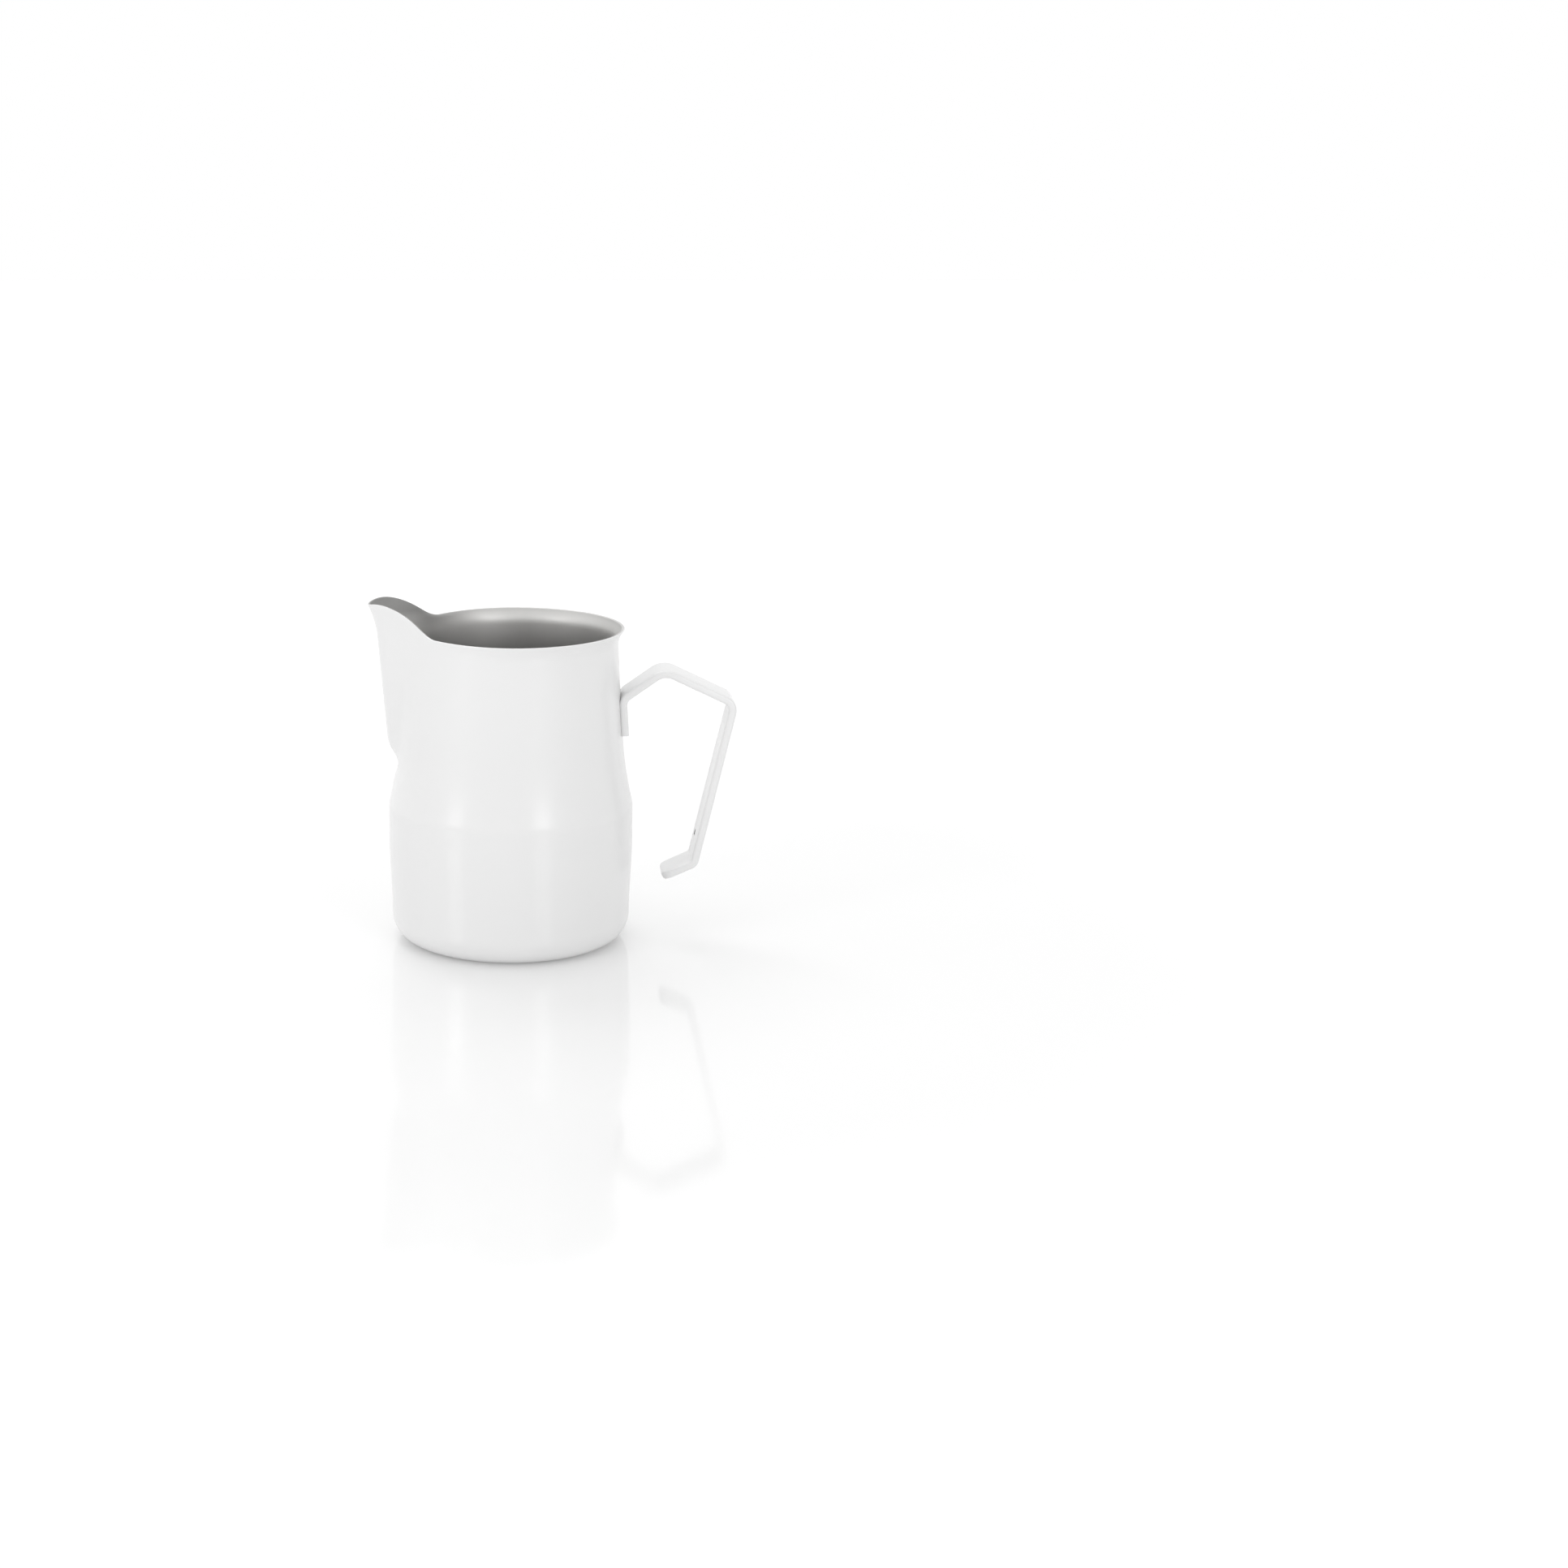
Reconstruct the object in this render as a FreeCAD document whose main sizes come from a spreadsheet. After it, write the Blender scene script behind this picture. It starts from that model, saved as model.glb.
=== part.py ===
"""Milk frothing jug: a pressed steel vessel with a poured lip and spout, and a bent strip handle.

Millimetres.  The origin is the centre of the base on the vessel's axis, +Z is up, the spout
points to -X and the handle stands out to +X.  The jug is alike on both sides of the XZ plane.

Two pieces: the vessel (jug_body), one thin wall drawn up from its flat base, and the strip
(handle), which is welded to the neck by its top end only and hangs free below.
"""
import FreeCAD, Part
import math
import os

import Sketcher
from FreeCAD import Vector

# ---------------------------------------------------------------- driving dimensions
# alias, value, what it is.  Radii are those of the outer skin.  A "draw" is how far the wall
# stands inside the belly, a "reach" how far a point stands outside it.
DIMENSIONS = [
    ("wall", 0.9, "thickness of the pressed sheet"),
    ("belly_radius", 41.15, "largest outer radius of the vessel"),
    ("rim_height", 106.6, "height of the level part of the rim"),
    ("corner_radius", 8.5, "outer radius between base and side"),
    ("base_draw", 0.85, "side above the base corner"),
    ("belly_low", 34.0, "height where the side reaches the belly"),
    ("belly_high", 45.5, "height where the side leaves the belly"),
    ("shoulder_height", 49.5, "height of the lower end of the neck"),
    ("shoulder_draw", 0.65, "shoulder"),
    ("shoulder_slope", 0.21, "inward lean of the wall over the shoulder"),
    ("waist_height", 68.5, "height where the neck turns steep"),
    ("waist_draw", 3.4, "waist"),
    ("waist_slope", 0.058, "inward lean of the wall at the waist"),
    ("collar_drop", 6.6, "narrowest ring of the neck, below the rim"),
    ("collar_draw", 5.13, "collar"),
    ("collar_slope", 0.03, "inward lean of the wall at the collar"),
    ("lip_flare", 2.28, "how far the rolled lip turns out"),
    ("lip_height", 4.6, "height of the rolled lip"),
    ("lip_curl", 1.8, "power by which the lip turns out, 1 for a straight flare"),
    ("foot_height", 61.1, "height of the crease under the spout"),
    ("foot_draw", 3.8, "crease under the spout"),
    ("foot_slope", 0.65, "outward lean of the spout's front above the crease"),
    ("dent_start", 54.0, "height where the wall starts to run in to the crease"),
    ("dent_slope", 0.2, "inward lean of the wall below the crease"),
    ("knee_height", 66.5, "height of the spout's lower bend"),
    ("knee_draw", 0.4, "lower bend of the spout"),
    ("knee_slope", 0.4, "outward lean of the front there"),
    ("keel_height", 71.0, "lower end of the spout's straight front"),
    ("keel_reach", 0.5, "front of the spout there"),
    ("throat_drop", 3.6, "upper end of the straight front, below the rim"),
    ("throat_reach", 3.35, "front of the spout there"),
    ("tip_rise", 7.8, "tip of the spout, above the rim"),
    ("tip_reach", 6.6, "front of the spout there"),
    ("tip_slope", 0.55, "outward lean of the front there"),
    ("foot_width", 7.125, "half angle of the spout at the crease, degrees"),
    ("keel_width", 9.5, "half angle of the spout at its lower end, degrees"),
    ("keel_spread", 0.2, "growth of that half angle there, degrees per mm"),
    ("throat_width", 16.5, "half angle of the spout at its throat, degrees"),
    ("throat_spread", 0.15, "growth of that half angle there, degrees per mm"),
    ("mouth_width", 18.3, "half angle of the spout at its rim, degrees"),
    ("brow_rise", 11.2, "how far the rim climbs beside the spout"),
    ("brow_angle", 45.0, "where the rim starts to climb, degrees from the spout"),
    ("droop", 3.3, "how far the very tip bows down again"),
    ("droop_width", 9.5, "half angle of that bow, degrees"),
    ("pinch", 1.4, "how far the rim is drawn in beside the spout"),
    ("pinch_near", 33.0, "angle up to which the rim is drawn in, degrees"),
    ("pinch_far", 103.0, "angle from which the rim is round again, degrees"),
    ("pinch_start", 75.0, "height from which the neck is drawn in"),
    ("strip_width", 15.0, "handle strip, across"),
    ("strip_thickness", 2.6, "handle strip, through"),
    ("strip_edge", 0.9, "rounding of the strip's long edges"),
    ("strip_end", 3.6, "rounding of the free end's corners"),
    ("seat_inset", 0.5, "how far the strip's middle is let into the neck"),
    ("bracket_low", 71.0, "lower end of the strip's welded foot"),
    ("bracket_high", 83.2, "height of the bend above the welded foot"),
    ("bracket_bend", 2.3, "radius inside that bend"),
    ("crown_reach", 9.9, "top bend of the strip"),
    ("crown_height", 92.85, "height of the top bend"),
    ("crown_bend", 4.9, "radius inside the top bend"),
    ("knuckle_reach", 33.4, "outermost bend of the strip"),
    ("knuckle_height", 81.7, "height of the outermost bend"),
    ("knuckle_bend", 2.6, "radius inside that bend"),
    ("heel_reach", 20.8, "bottom bend of the strip"),
    ("heel_height", 26.6, "height of the bottom bend"),
    ("heel_bend", 1.2, "radius inside the bottom bend"),
    ("toe_reach", 10.1, "free end of the strip"),
    ("toe_height", 21.8, "height of the free end"),
]

# how finely the vessel's skins are laid out
COLUMN_STEP = 5.0      # degrees between two columns
CORNER_ROWS = 7        # rows round the base corner
WALL_ROW_PITCH = 3.0   # mm between two rows up the wall
LIP_ROWS = 5           # rows over the rolled lip
SLOPE_STEP = 0.05      # mm up and down between which the wall's slope is measured


def make_sheet(document):
    """The spreadsheet that holds the driving dimensions."""
    sheet = document.addObject("Spreadsheet::Sheet", "Dimensions")
    for row, (alias, value, note) in enumerate(DIMENSIONS, start=1):
        sheet.set(f"A{row}", alias)
        sheet.set(f"B{row}", str(value))
        sheet.set(f"C{row}", note)
        sheet.setAlias(f"B{row}", alias)
    document.recompute()
    return sheet


def add_neck_sizes(sheet, vessel):
    """Radii of the neck behind the strip's foot, which follow from the wall's curve."""
    places = (("neck_low", sheet.bracket_low), ("neck_high", sheet.bracket_high))
    for row, (alias, height) in enumerate(places, start=len(DIMENSIONS) + 1):
        sheet.set(f"A{row}", alias)
        sheet.set(f"B{row}", repr(vessel.round_radius(height)))
        sheet.setAlias(f"B{row}", alias)
    sheet.Document.recompute()


# ---------------------------------------------------------------- the vessel's form
def hermite(stations, at):
    """Smooth curve through (place, value, slope) stations, level past both ends."""
    first, last = stations[0], stations[-1]
    if at <= first[0]:
        return first[1]
    if at >= last[0]:
        return last[1]
    for (x0, y0, s0), (x1, y1, s1) in zip(stations, stations[1:]):
        if at <= x1:
            break
    span = x1 - x0
    t = (at - x0) / span
    start = (2 * t - 3) * t * t + 1
    leave = ((t - 2) * t + 1) * t * span
    arrive = (t - 1) * t * t * span
    return start * y0 + leave * s0 + (1 - start) * y1 + arrive * s1


def ease(x):
    """1 at x = 0 and below, falling in half a cosine wave to 0 at x = 1 and above."""
    return 0.5 * (1 + math.cos(math.pi * min(max(x, 0.0), 1.0)))


def bell(angle, width):
    return math.exp(-((angle / width) ** 2))


class Vessel:
    """The outer skin as a radius over (angle from the spout in degrees, height)."""

    def __init__(self, size):
        self.size = size
        belly = size.belly_radius
        rim = size.rim_height
        self.base_radius = belly - size.base_draw - size.corner_radius
        self.wall_line = [
            (size.corner_radius, belly - size.base_draw, 0.0),
            (size.belly_low, belly, 0.0),
            (size.belly_high, belly, 0.0),
            (size.shoulder_height, belly - size.shoulder_draw, -size.shoulder_slope),
            (size.waist_height, belly - size.waist_draw, -size.waist_slope),
            (rim - size.collar_drop, belly - size.collar_draw, -size.collar_slope),
            (rim + size.brow_rise, belly - size.collar_draw, 0.0),
        ]
        straight = ((size.throat_reach - size.keel_reach)
                    / (rim - size.throat_drop - size.keel_height))
        self.front_line = [
            (size.foot_height, belly - size.foot_draw, size.foot_slope),
            (size.knee_height, belly - size.knee_draw, size.knee_slope),
            (size.keel_height, belly + size.keel_reach, straight),
            (rim - size.throat_drop, belly + size.throat_reach, straight),
            (rim + size.tip_rise, belly + size.tip_reach, size.tip_slope),
        ]
        dent = self.round_radius(size.foot_height) - (belly - size.foot_draw)
        self.dent_line = [(size.dent_start, 0.0, 0.0),
                          (size.foot_height, -dent, -size.dent_slope)]
        self.spread_line = [
            (size.foot_height, size.foot_width, 0.0),
            (size.keel_height, size.keel_width, size.keel_spread),
            (rim - size.throat_drop, size.throat_width, size.throat_spread),
            (rim + size.tip_rise, size.mouth_width, 0.0),
        ]

    def round_radius(self, height):
        """Radius of the plain turned form, without lip or spout."""
        return hermite(self.wall_line, height)

    def rim(self, angle):
        """Height of the rim at an angle from the spout."""
        size = self.size
        climb = size.brow_rise * ease(abs(angle) / size.brow_angle)
        return size.rim_height + climb - size.droop * bell(angle, size.droop_width)

    def radius(self, angle, height):
        size = self.size
        angle = abs(angle)
        beside = ease((angle - size.pinch_near) / (size.pinch_far - size.pinch_near))
        up_lip = (height - size.rim_height + size.lip_height) / size.lip_height
        lip = size.lip_flare * min(max(up_lip, 0.0), 1.0) ** size.lip_curl * (1 - beside)
        up_neck = (height - size.pinch_start) / (size.rim_height - size.pinch_start)
        drawn_in = size.pinch * beside * min(max(up_neck, 0.0), 1.0)
        if height < size.foot_height:
            bulge = hermite(self.dent_line, height)
        else:
            bulge = hermite(self.front_line, height) - self.round_radius(height) + drawn_in
        spread = hermite(self.spread_line, height)
        return self.round_radius(height) + lip - drawn_in + bulge * bell(angle, spread)

    def inner_radius(self, angle, height):
        """Radius of the inner skin: the wall's thickness measured square to the slope."""
        rise = self.radius(angle, height + SLOPE_STEP) - self.radius(angle, height - SLOPE_STEP)
        slope = rise / (2 * SLOPE_STEP)
        return self.radius(angle, height) - self.size.wall * math.hypot(1, slope)


def place(angle, radius, height):
    """A point at an angle from the spout, which points to -X."""
    turn = math.radians(angle)
    return Vector(-radius * math.cos(turn), radius * math.sin(turn), height)


def wall_heights(vessel, angle):
    """Heights of the rows from the base corner to the rim, closer together over the lip."""
    size = vessel.size
    low = size.corner_radius
    lip_start = size.rim_height - size.lip_height
    plain_rows = round((lip_start - low) / WALL_ROW_PITCH)
    shares = [(lip_start - low) * row / plain_rows for row in range(1, plain_rows + 1)]
    shares += [lip_start - low + size.lip_height * row / LIP_ROWS for row in range(1, LIP_ROWS + 1)]
    stretch = (vessel.rim(angle) - low) / (size.rim_height - low)
    return [low + share * stretch for share in shares]


def along(points):
    """Running chord length of a row of points, the parameters of a curve through them."""
    lengths = [0.0]
    for before, after in zip(points, points[1:]):
        lengths.append(lengths[-1] + before.distanceToPoint(after))
    return lengths


def surface_through(rings):
    """Smooth surface, closed round the axis, through rings of points from the bottom up.

    It leaves the lowest ring level, so it runs on smoothly from the flat disc inside it.
    """
    around = [float(column) for column in range(len(rings[0]) + 1)]
    upward = along([points[0] for points in rings])
    hoops = []
    for points in rings:
        hoop = Part.BSplineCurve()
        hoop.interpolate(Points=points, Parameters=around, PeriodicFlag=True)
        hoops.append(hoop)
    start_only = [row == 0 for row in range(len(rings))]
    ribs = []
    for poles in zip(*[hoop.getPoles() for hoop in hoops]):
        rib = Part.BSplineCurve()
        outward = Vector(poles[0].x, poles[0].y, 0).normalize()
        rib.interpolate(Points=list(poles), Parameters=upward, Scale=False,
                        Tangents=[outward] * len(poles), TangentFlags=start_only)
        ribs.append(rib)
    surface = Part.BSplineSurface()
    surface.buildFromPolesMultsKnots(
        [rib.getPoles() for rib in ribs],
        hoops[0].getMultiplicities(), ribs[0].getMultiplicities(),
        hoops[0].getKnots(), ribs[0].getKnots(),
        True, False, hoops[0].Degree, ribs[0].Degree)
    return surface


def skin(vessel, radius_at, corner, floor_height):
    """One skin of the vessel, from the edge of its flat disc to the rim."""
    columns = round(360 / COLUMN_STEP)
    angles = [-180.0 + column * 360.0 / columns for column in range(columns)]
    flat = vessel.base_radius
    rings = []
    for step in range(CORNER_ROWS):
        turn = 0.5 * math.pi * step / (CORNER_ROWS - 1)
        radius = flat + corner * math.sin(turn)
        height = floor_height + corner * (1 - math.cos(turn))
        rings.append([place(angle, radius, height) for angle in angles])
    climbs = [wall_heights(vessel, angle) for angle in angles]
    for heights in zip(*climbs):
        rings.append([place(angle, radius_at(angle, height), height)
                      for angle, height in zip(angles, heights)])
    return surface_through(rings).toShape()


def ring(face, highest):
    """The closed edge at the bottom or the top of a skin."""
    closed = [edge for edge in face.Edges if edge.isClosed()]
    closed.sort(key=lambda edge: edge.CenterOfMass.z)
    return closed[-1] if highest else closed[0]


def make_vessel(document, vessel):
    """jug_body: outer skin, inner skin, the narrow rim between them, base and floor."""
    size = vessel.size
    outer = skin(vessel, vessel.radius, size.corner_radius, 0.0)
    inner = skin(vessel, vessel.inner_radius, size.corner_radius - size.wall, size.wall)
    rim = Part.makeRuledSurface(ring(outer, True), ring(inner, True))
    base = Part.Face(Part.Wire([ring(outer, False)]))
    floor = Part.Face(Part.Wire([ring(inner, False)]))
    shell = Part.makeShell([outer, inner, rim, base, floor])
    shell.sewShape()
    solid = Part.makeSolid(shell)
    if solid.Volume < 0:
        solid.reverse()
    body = document.addObject("Part::Feature", "JugBody")
    body.Shape = solid
    body.Label = "jug_body"
    return body


# ---------------------------------------------------------------- the handle
def origin_plane(body, role):
    return next(plane for plane in body.Origin.OriginFeatures if plane.Role == role)


def add_sketch(body, role, name):
    """A sketch on one of the body's own origin planes."""
    sketch = body.newObject("Sketcher::SketchObject", name)
    sketch.AttachmentSupport = (origin_plane(body, role), "")
    sketch.MapMode = "FlatFace"
    return sketch


def bind(sketch, constraint, name, expression):
    """Add a named constraint and tie its value to the sheet."""
    index = sketch.addConstraint(constraint)
    sketch.renameConstraint(index, name)
    sketch.setExpression(f"Constraints.{name}", expression)


def bend_between(before, corner, after, radius):
    """Centre and both tangent points of the bend that rounds off a corner."""
    inward = (before - corner).normalize()
    onward = (after - corner).normalize()
    half = inward.getAngle(onward) / 2
    reach = radius / math.tan(half)
    middle = (inward + onward).normalize()
    centre = corner + middle * (radius / math.sin(half))
    return centre, corner + inward * reach, corner + onward * reach


def draw_path(sketch, corners, expressions, bends):
    """Straight runs joined by tangent bends.  Each corner is pinned by the two expressions."""
    arcs = [bend_between(*corners[i:i + 3], radius) for i, (_, radius) in enumerate(bends)]
    starts = [corners[0]] + [leave for _, _, leave in arcs]
    ends = [arrive for _, arrive, _ in arcs] + [corners[-1]]
    runs = [sketch.addGeometry(Part.LineSegment(a, b)) for a, b in zip(starts, ends)]
    for index, (name, radius) in enumerate(bends):
        centre, arrive, leave = arcs[index]
        first = math.atan2(arrive.y - centre.y, arrive.x - centre.x)
        last = math.atan2(leave.y - centre.y, leave.x - centre.x)
        turns_left = math.sin(last - first) > 0
        circle = Part.Circle(centre, Vector(0, 0, 1), radius)
        span = (first, last) if turns_left else (last, first)
        arc = sketch.addGeometry(Part.ArcOfCircle(circle, *span))
        joins = (1, 2) if turns_left else (2, 1)
        sketch.addConstraint(Sketcher.Constraint("Tangent", runs[index], 2, arc, joins[0]))
        sketch.addConstraint(Sketcher.Constraint("Tangent", arc, joins[1], runs[index + 1], 1))
        bind(sketch, Sketcher.Constraint("Radius", arc, radius), name,
             f"Dimensions.{name} + Dimensions.strip_thickness / 2")
    pins = [(runs[0], 1)]
    for index, corner in enumerate(corners[1:-1]):
        point = sketch.addGeometry(Part.Point(corner), True)
        sketch.addConstraint(Sketcher.Constraint("PointOnObject", point, 1, runs[index]))
        sketch.addConstraint(Sketcher.Constraint("PointOnObject", point, 1, runs[index + 1]))
        pins.append((point, 1))
    pins.append((runs[-1], 2))
    for index, (pin, corner) in enumerate(zip(pins, corners)):
        across, up = expressions[index]
        bind(sketch, Sketcher.Constraint("DistanceX", -1, 1, *pin, corner.x), f"out{index}", across)
        bind(sketch, Sketcher.Constraint("DistanceY", -1, 1, *pin, corner.y), f"up{index}", up)


def draw_section(sketch, centre_x, thickness, width):
    """The strip's rectangular section, its middle at centre_x on the first axis."""
    low_x = centre_x - thickness / 2
    low_y = -width / 2
    outline = [Vector(low_x, low_y, 0), Vector(low_x + thickness, low_y, 0),
               Vector(low_x + thickness, -low_y, 0), Vector(low_x, -low_y, 0)]
    sides = [sketch.addGeometry(Part.LineSegment(a, b))
             for a, b in zip(outline, outline[1:] + outline[:1])]
    for side, following in zip(sides, sides[1:] + sides[:1]):
        sketch.addConstraint(Sketcher.Constraint("Coincident", side, 2, following, 1))
    for side, direction in zip(sides, ("Horizontal", "Vertical", "Horizontal", "Vertical")):
        sketch.addConstraint(Sketcher.Constraint(direction, side))
    bind(sketch, Sketcher.Constraint("DistanceX", sides[0], 1, sides[0], 2, thickness),
         "through", "Dimensions.strip_thickness")
    bind(sketch, Sketcher.Constraint("DistanceY", sides[1], 1, sides[1], 2, width),
         "across", "Dimensions.strip_width")
    bind(sketch, Sketcher.Constraint("DistanceX", -1, 1, sides[0], 1, low_x), "inner_face",
         "Dimensions.neck_low - Dimensions.seat_inset")
    bind(sketch, Sketcher.Constraint("DistanceY", sides[0], 1, -1, 1, width / 2), "half",
         "Dimensions.strip_width / 2")


def edge_names(shape, wanted):
    return [f"Edge{number}" for number, edge in enumerate(shape.Edges, start=1) if wanted(edge)]


def add_fillet(body, base, name, names, radius_alias):
    fillet = body.newObject("PartDesign::Fillet", name)
    fillet.Base = (base, names)
    fillet.setExpression("Radius", f"Dimensions.{radius_alias}")
    body.Document.recompute()
    return fillet


def make_handle(document, sheet, jug_body):
    """handle: the bent strip, its foot let into the neck and shaped to it."""
    body = document.addObject("PartDesign::Body", "Strip")
    half_through = sheet.strip_thickness / 2
    seat = "Dimensions.strip_thickness / 2 - Dimensions.seat_inset"
    out = "Dimensions.belly_radius + Dimensions."
    expressions = [
        (f"Dimensions.neck_low + {seat}", "Dimensions.bracket_low"),
        (f"Dimensions.neck_high + {seat}", "Dimensions.bracket_high"),
        (f"{out}crown_reach", "Dimensions.crown_height"),
        (f"{out}knuckle_reach", "Dimensions.knuckle_height"),
        (f"{out}heel_reach", "Dimensions.heel_height"),
        (f"{out}toe_reach", "Dimensions.toe_height"),
    ]
    belly = sheet.belly_radius
    corners = [
        Vector(sheet.neck_low + half_through - sheet.seat_inset, sheet.bracket_low, 0),
        Vector(sheet.neck_high + half_through - sheet.seat_inset, sheet.bracket_high, 0),
        Vector(belly + sheet.crown_reach, sheet.crown_height, 0),
        Vector(belly + sheet.knuckle_reach, sheet.knuckle_height, 0),
        Vector(belly + sheet.heel_reach, sheet.heel_height, 0),
        Vector(belly + sheet.toe_reach, sheet.toe_height, 0),
    ]
    bends = [(name, sheet.getPropertyByName(name) + half_through)
             for name in ("bracket_bend", "crown_bend", "knuckle_bend", "heel_bend")]
    path = add_sketch(body, "XZ_Plane", "StripPath")
    draw_path(path, corners, expressions, bends)
    section = add_sketch(body, "XY_Plane", "StripSection")
    section.setExpression("AttachmentOffset.Base.z", "Dimensions.bracket_low")
    draw_section(section, corners[0].x, sheet.strip_thickness, sheet.strip_width)
    document.recompute()
    strip = body.newObject("PartDesign::AdditivePipe", "BentStrip")
    strip.Profile = section
    strip.Spine = path
    document.recompute()

    toe_centre = Vector(corners[-1].x, 0, corners[-1].y)
    toe = min(strip.Shape.Faces, key=lambda face: face.CenterOfMass.distanceToPoint(toe_centre))
    toe_corners = [edge for edge in toe.Edges if edge.Length < sheet.strip_width / 2]
    names = edge_names(strip.Shape, lambda edge: any(edge.isSame(other) for other in toe_corners))
    rounded = add_fillet(body, strip, "RoundedEnd", names, "strip_end")

    def is_long_edge(edge):
        ends = [vertex.Point for vertex in edge.Vertexes]
        on_side = all(abs(abs(end.y) - sheet.strip_width / 2) < 0.01 for end in ends)
        across = edge.Curve.TypeId == "Part::GeomLine" and edge.Length < 2 * sheet.strip_thickness
        at_foot = all(abs(end.z - sheet.bracket_low) < 0.01 for end in ends)
        return on_side and not across and not at_foot and abs(ends[0].y - ends[-1].y) < 0.01

    names = edge_names(rounded.Shape, is_long_edge)
    soft = add_fillet(body, rounded, "SoftEdges", names, "strip_edge")
    body.Tip = soft
    document.recompute()
    handle = document.addObject("Part::Cut", "Handle")
    handle.Base = body
    handle.Tool = jug_body
    handle.Label = "handle"
    document.recompute()
    return handle


def check(document, pieces):
    """Stop on any feature that failed and any piece that isn't one sound solid."""
    for item in document.Objects:
        if "Invalid" in item.State or "Error" in item.State:
            raise RuntimeError(f"{item.Name} failed: {item.State}")
    for piece in pieces:
        shape = piece.Shape
        if shape.isNull() or not shape.isValid() or len(shape.Solids) != 1:
            raise RuntimeError(f"{piece.Label} is not one sound solid")


def main():
    document = FreeCAD.newDocument("MilkJug")
    sheet = make_sheet(document)
    vessel = Vessel(sheet)
    add_neck_sizes(sheet, vessel)
    jug_body = make_vessel(document, vessel)
    handle = make_handle(document, sheet, jug_body)
    pieces = [jug_body, handle]
    check(document, pieces)
    os.makedirs("parts", exist_ok=True)
    for piece in pieces:
        piece.Shape.exportStep(f"parts/{piece.Label}.step")
        print(piece.Label, round(piece.Shape.Volume, 1), "mm3")


main()
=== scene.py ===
"""Milk frothing jug: white lacquered steel vessel, bare satin inside, bent strip for a handle."""
import math

import bpy
from bpy.props import FloatProperty, FloatVectorProperty, PointerProperty
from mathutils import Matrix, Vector


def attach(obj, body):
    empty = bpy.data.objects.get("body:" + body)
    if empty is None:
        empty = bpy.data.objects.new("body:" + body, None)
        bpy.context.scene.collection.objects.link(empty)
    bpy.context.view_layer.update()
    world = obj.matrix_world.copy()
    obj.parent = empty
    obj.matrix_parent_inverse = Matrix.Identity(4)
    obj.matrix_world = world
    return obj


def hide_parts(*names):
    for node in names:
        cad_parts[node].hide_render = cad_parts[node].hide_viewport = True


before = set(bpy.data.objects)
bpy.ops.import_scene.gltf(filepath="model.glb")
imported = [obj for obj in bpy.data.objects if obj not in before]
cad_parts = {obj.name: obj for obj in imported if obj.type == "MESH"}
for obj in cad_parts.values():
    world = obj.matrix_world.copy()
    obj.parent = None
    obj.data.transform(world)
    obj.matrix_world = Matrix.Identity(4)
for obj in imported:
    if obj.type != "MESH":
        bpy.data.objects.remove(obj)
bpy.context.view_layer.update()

bl_info = {
    "name": "Milk Frothing Jug",
    "version": (1, 0, 0),
    "blender": (4, 5, 0),
    "location": "View3D > Sidebar > Milk Jug",
    "description": "Builds a lacquered steel milk jug on a white studio floor",
    "category": "Object",
}

MM = 0.001

COLUMNS = 256                                   # faces round the vessel
DISC_ROWS, CORNER_ROWS, WALL_ROWS, RIM_ROWS = 8, 14, 100, 8
STRIP_ROWS, TOE_ROWS = 320, 12                  # faces along the handle, and over its rounded end
EDGE_STEPS = 6                                  # faces round each long edge of the handle
BEND_STEPS = 24                                 # straight pieces in each bend of the handle
PATH_STEP = 0.2 * MM
SLOPE_STEP = 0.05 * MM                          # up which the wall's slope is measured
MERGE = 0.002 * MM

# stations of the vessel's side, from the bottom up
BELLY_LOW, BELLY_HIGH = 34.0 * MM, 45.5 * MM
SHOULDER_HEIGHT, SHOULDER_SLOPE = 49.5 * MM, 0.21
WAIST_HEIGHT, WAIST_SLOPE = 68.5 * MM, 0.058
COLLAR_DROP, COLLAR_SLOPE = 6.6 * MM, 0.03       # below the rim
LIP_CURL = 1.8                                  # power by which the lip turns out
LIP_ROUND = 0.3                                 # rise of the lip's rounded edge, in walls
LIP_BARE = 0.4                                  # share of that edge that is lacquered
# stations of the spout's front, and half its width there in degrees
DENT_START, DENT_SLOPE = 54.0 * MM, 0.2
FOOT_HEIGHT, FOOT_DRAW, FOOT_SLOPE, FOOT_WIDTH = 61.1 * MM, 3.8 * MM, 0.65, 7.1
KNEE_HEIGHT, KNEE_DRAW, KNEE_SLOPE = 66.5 * MM, 0.4 * MM, 0.4
KEEL_HEIGHT, KEEL_WIDTH, KEEL_SPREAD = 71.0 * MM, 9.5, 0.2 / MM
THROAT_DROP, THROAT_WIDTH, THROAT_SPREAD = 3.6 * MM, 16.5, 0.15 / MM
TIP_RISE, TIP_SLOPE, MOUTH_WIDTH = 7.8 * MM, 0.55, 18.3
DROOP_WIDTH = 9.5
PINCH_START, PINCH_NEAR, PINCH_SPAN = 75.0 * MM, 33.0, 70.0
# the handle's foot, against the neck
NECK_LOW, NECK_HIGH = 37.60 * MM, 36.84 * MM     # radius of the neck at the foot's two ends
SEAT = 0.75 * MM                                # how far the foot is let into the neck
NICK_PLACE = (62.6 * MM, 2.2 * MM, 35.2 * MM)
NICK_SIZE = (1.5 * MM, 1.3 * MM, 1.1 * MM)

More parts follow.
